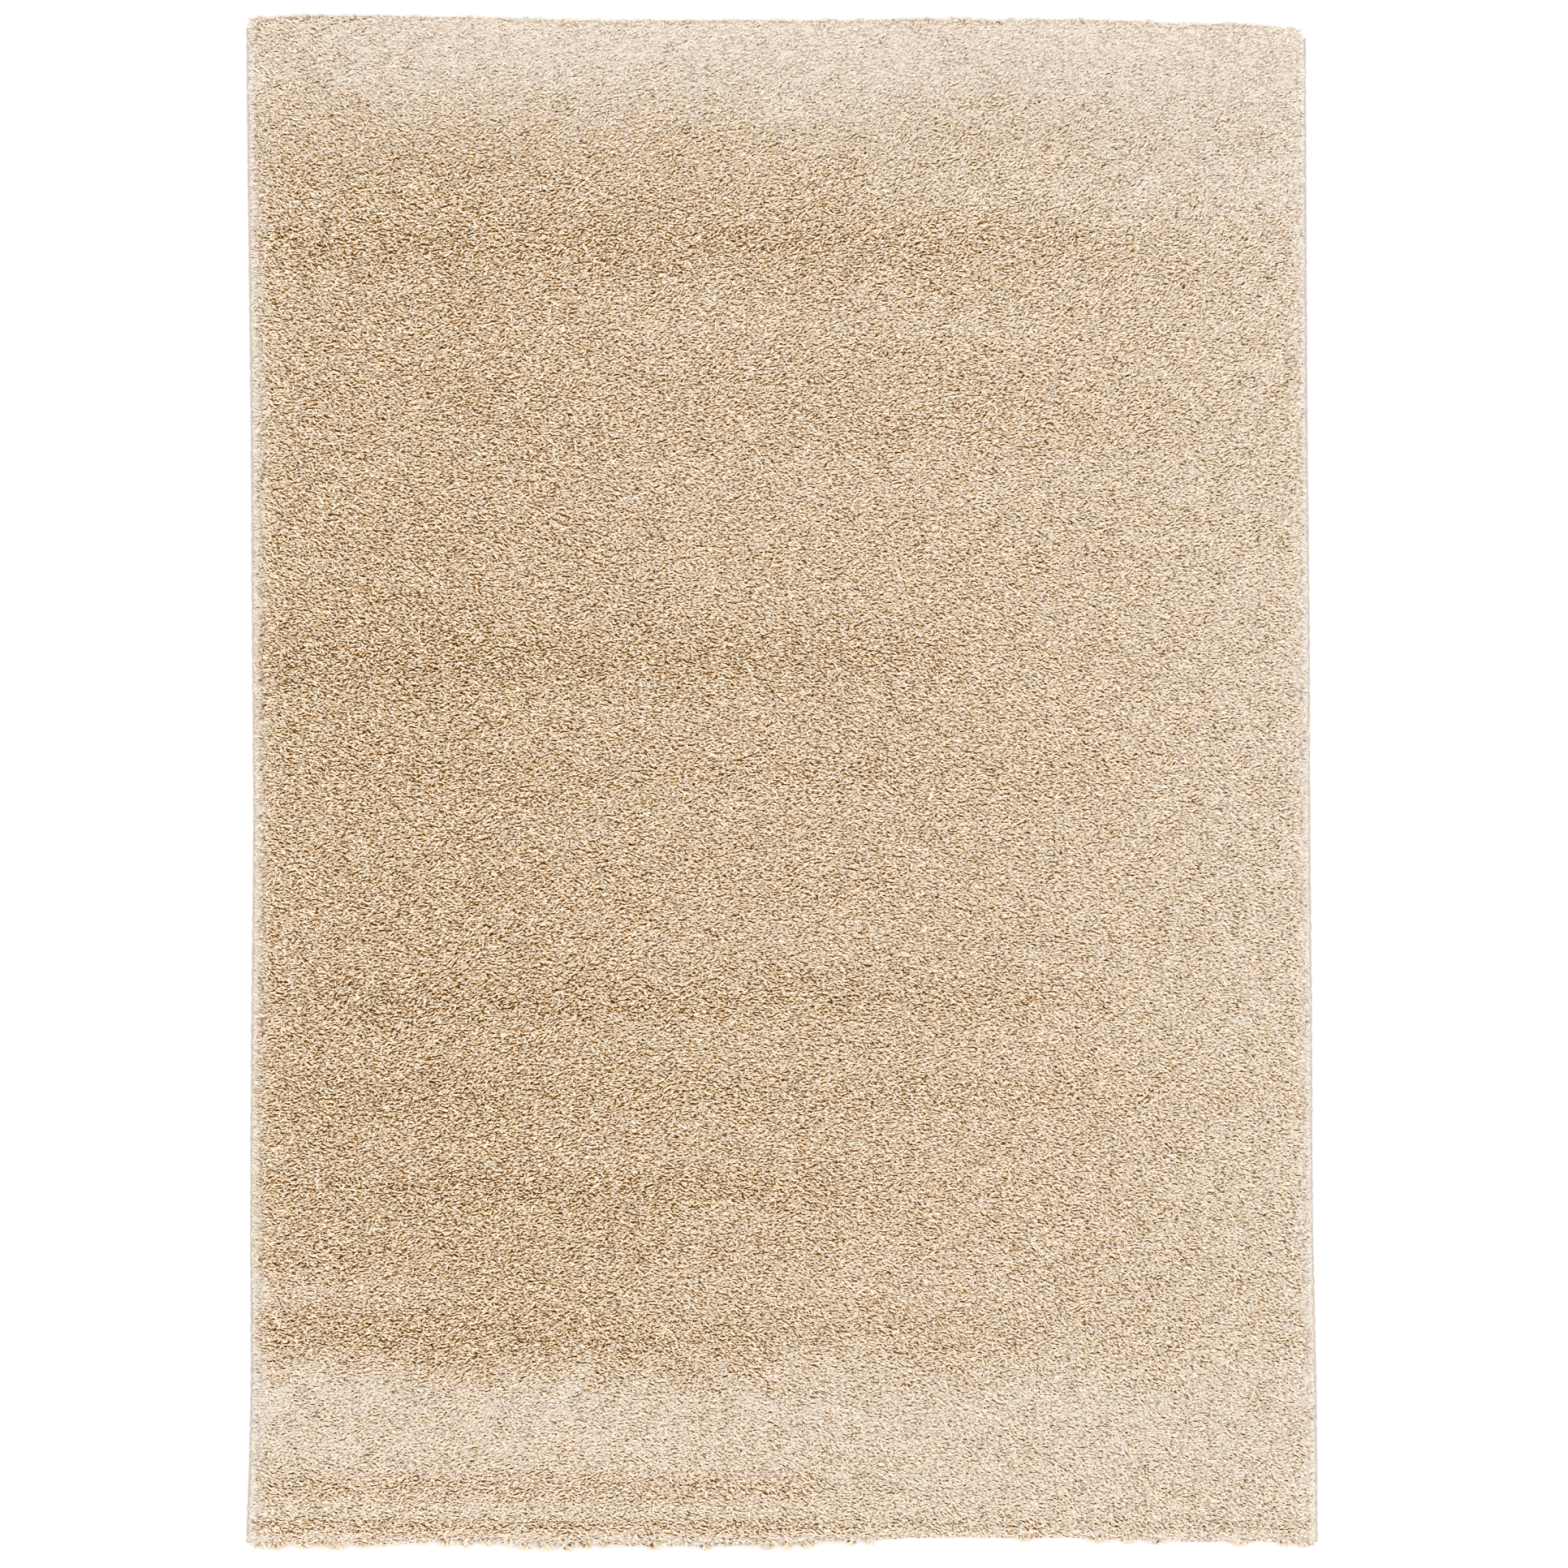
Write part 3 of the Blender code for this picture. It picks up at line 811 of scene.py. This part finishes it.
def yarn_material():
    """Loose yarn: painted shade makes it dark and warm at the root, pale at the tip, each strand in its own
    tone, with its top face painted lighter than its flanks as painted light, and with fine fibres that run
    along it."""
    made, shader = material("cream_yarn", 0.90, specular=0.06)
    place = Shade.of("ShaderNodeUVMap", {"uv_map": "strand"})
    round_it, along_it, own = place.part("X"), mark("along"), mark("shade")
    fibres = noise(vector(round_it * 6.0, along_it * 2.4, own * 41.0), 1.0, 2.0)
    # Painted light: the top face of each strand is painted lighter and its flanks darker
    crown = ((round_it - 1 / 6) * (2 * np.pi)).maths("COSINE")
    # Painted shade: each strand darkens towards its root, less so for strands of a paler tone
    root = (1.30 - along_it * 1.9).held() * (1.25 - own)
    pattern = (own - 0.5) * 0.26 + (fibres - 0.5) * 0.78 + crown * 0.12 - root * 0.62 + 0.16
    wire(shader, "Base Color", yarn_colour(pattern))
    wire(shader, "Normal", bump(fibres, 0.0004))
    return made


def bed_material():
    """Packed pile: short strands side by side, drawn by a wave pattern whose crests run along the lay of the
    pile and break up every few millimetres. Crests are pale and the troughs between them painted dark brown
    as the shade between strands; drawn-out noise makes some strands lighter and others darker, and the lower
    the surface lies, the darker it is painted as shade."""
    made, shader = material("cream_pile", 0.95, specular=0.05)
    place = Shade.of("ShaderNodeTexCoord", None, None, "Object")
    turn = mark("lay") + (noise(place, 30.0, 1.0) - 0.5) * 1.6 + (noise(place, 95.0, 1.0) - 0.5) * 1.6
    waves = Shade.of("ShaderNodeTexGabor", {"gabor_type": "2D"}, {
        "Vector": place, "Scale": 270.0, "Frequency": 0.70, "Anisotropy": 1.0,
        "Orientation": turn + np.pi / 2,
    }, "Value")
    turned = turn.maths("SNAP", 0.2)
    x, y = place.part("X"), place.part("Y")
    cosine, sine = turned.maths("COSINE"), turned.maths("SINE")
    along, across = (x * cosine + y * sine) * 200.0, (y * cosine - x * sine) * 560.0
    streak = noise(vector(along, across, turned * 9.0), 1.0, 1.0)
    # Painted shade: dark wave troughs between strands, and darker the lower the surface lies
    pattern = (waves - 0.5) * 2.0 + (streak - 0.5) * 1.0 - 0.03 + (mark("depth") - 0.9) * 0.3
    wire(shader, "Base Color", yarn_colour(pattern))
    wire(shader, "Normal", bump(waves, 0.0009))
    return made


def cloth_material():
    """Plain weave: warp and weft ribs passing over and under each other, with slubs and a line of hem
    stitches near each end."""
    made, shader = material("woven_ground", 0.90)
    place = Shade.of("ShaderNodeTexCoord", None, None, "Object")
    slub = noise(place, 60.0, 3.0)
    warp = place.part("X") * (2 * np.pi / 0.0064) + slub * 1.2
    weft = place.part("Y") * (2 * np.pi / 0.0052) + slub * 1.2
    over = (warp * 0.5).maths("SINE") * (weft * 0.5).maths("SINE") * 4.0
    over = (over * 0.5 + 0.5).held()
    ribs = over * warp.maths("COSINE") * 0.5 + (1.0 - over) * weft.maths("COSINE") * 0.5 + 0.5
    from_end = mark("from_end")
    line = 1.0 - ((from_end - (HEM_WIDTH - 0.005)).maths("ABSOLUTE") * 700.0).held()
    stitch = line * ((place.part("X") * (2 * np.pi / 0.009)).maths("SINE") * 3.0 + 1.2).held()
    value = ribs * 0.42 + slub * 0.35 + 0.10 + stitch * 0.45
    stops = ((0.0, (0.20, 0.13, 0.07)), (0.5, (0.50, 0.39, 0.26)), (1.0, (0.80, 0.70, 0.56)))
    wire(shader, "Base Color", ramp(value.held(), stops))
    wire(shader, "Normal", bump(ribs + stitch * 1.5, 0.0006))
    return made


def serging_material():
    """Overcasting thread: pale and a little pink, painted darker between the turns as shade, with fine fibres
    along each turn."""
    made, shader = material("overcast_thread", 0.86, sheen=0.12)
    place = Shade.of("ShaderNodeTexCoord", None, None, "Object")
    stretched = vector(place.part("X") * 260.0, place.part("Y") * 2600.0, place.part("Z") * 260.0)
    fibre = noise(stretched, 1.0, 2.0)
    cloud = noise(place, 45.0, 2.0)
    # Painted shade: the thread is darker where it dips between turns
    value = mark("swell") * 0.55 + fibre * 0.35 + cloud * 0.30 - 0.10
    stops = ((0.0, (0.27, 0.22, 0.18)), (0.45, (0.57, 0.50, 0.45)), (1.0, (0.80, 0.74, 0.69)))
    wire(shader, "Base Color", ramp(value.held(), stops))
    wire(shader, "Normal", bump(fibre, 0.0003))
    return made


# Pieces
bed = make_bed()
cloth = make_cloth()
serging_left = make_serging("serged_edge_left", "left", -1.0)
serging_right = make_serging("serged_edge_right", "right", 1.0)
long_yarn = [
    make_field(f"pile_long_{letter}", LONG_COUNT, SEED + n, **LONG_YARN)
    for n, letter in enumerate("ab")
]
short_yarn = [
    make_field(f"pile_short_{letter}", SHORT_COUNT, SEED + 5 + n, **SHORT_YARN)
    for n, letter in enumerate("ab")
]
rim_yarn = make_rim("pile_rim", RIM_COUNT, SEED + 9)
pile = [bed, *long_yarn, *short_yarn, rim_yarn]

yarn, packed = yarn_material(), bed_material()
for thing in [*long_yarn, *short_yarn, rim_yarn]:
    thing.data.materials.append(yarn)
bed.data.materials.append(packed)
cloth.data.materials.append(cloth_material())
thread = serging_material()
for thing in (serging_left, serging_right):
    thing.data.materials.append(thread)

for thing in [cloth, serging_left, serging_right, *pile]:
    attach(thing, "root")
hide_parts("shag_mat")
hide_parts("serged_edge_left")
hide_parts("serged_edge_right")

# Floor, light and camera
FLOOR_HALF = 30.0
FLOOR_LEVEL = -0.0004  # just under the rug, so that the two don't share a plane
corners = np.array([(-1, -1, 0), (1, -1, 0), (1, 1, 0), (-1, 1, 0)]) * FLOOR_HALF + (0, 0, FLOOR_LEVEL)
floor = piece("studio_floor", corners, [np.array([[0, 1, 2, 3]])], smooth=False)
paper, shader = material("pale_paper", 0.95)
shader.inputs["Base Color"].default_value = (0.94, 0.94, 0.94, 1.0)
floor.data.materials.append(paper)

world = bpy.data.worlds.new("studio")
world.use_nodes = True
sky = world.node_tree.nodes["Background"]
sky.inputs["Color"].default_value = (1.0, 0.99, 0.975, 1.0)
sky.inputs["Strength"].default_value = 1.18
bpy.context.scene.world = world

lamp = bpy.data.lights.new("soft_key", "SUN")
lamp.energy = 0.60
lamp.angle = 0.8
key = bpy.data.objects.new("soft_key", lamp)
key.rotation_euler = (np.radians(-14), np.radians(12), 0)
bpy.context.scene.collection.objects.link(key)

CAMERA_HEIGHT = 5.0
FRAME_WIDTH = 2.3686
FRAME_LEVEL = 0.006  # the height at which the frame is that wide
SENSOR = 36.0
lens = bpy.data.cameras.new("overhead")
lens.sensor_width = SENSOR
lens.lens = SENSOR * (CAMERA_HEIGHT - FRAME_LEVEL) / FRAME_WIDTH
camera = bpy.data.objects.new("overhead", lens)
camera.location = (0.0031, -0.0031, CAMERA_HEIGHT)
bpy.context.scene.collection.objects.link(camera)
bpy.context.scene.camera = camera
bpy.context.scene.view_settings.view_transform = "Standard"
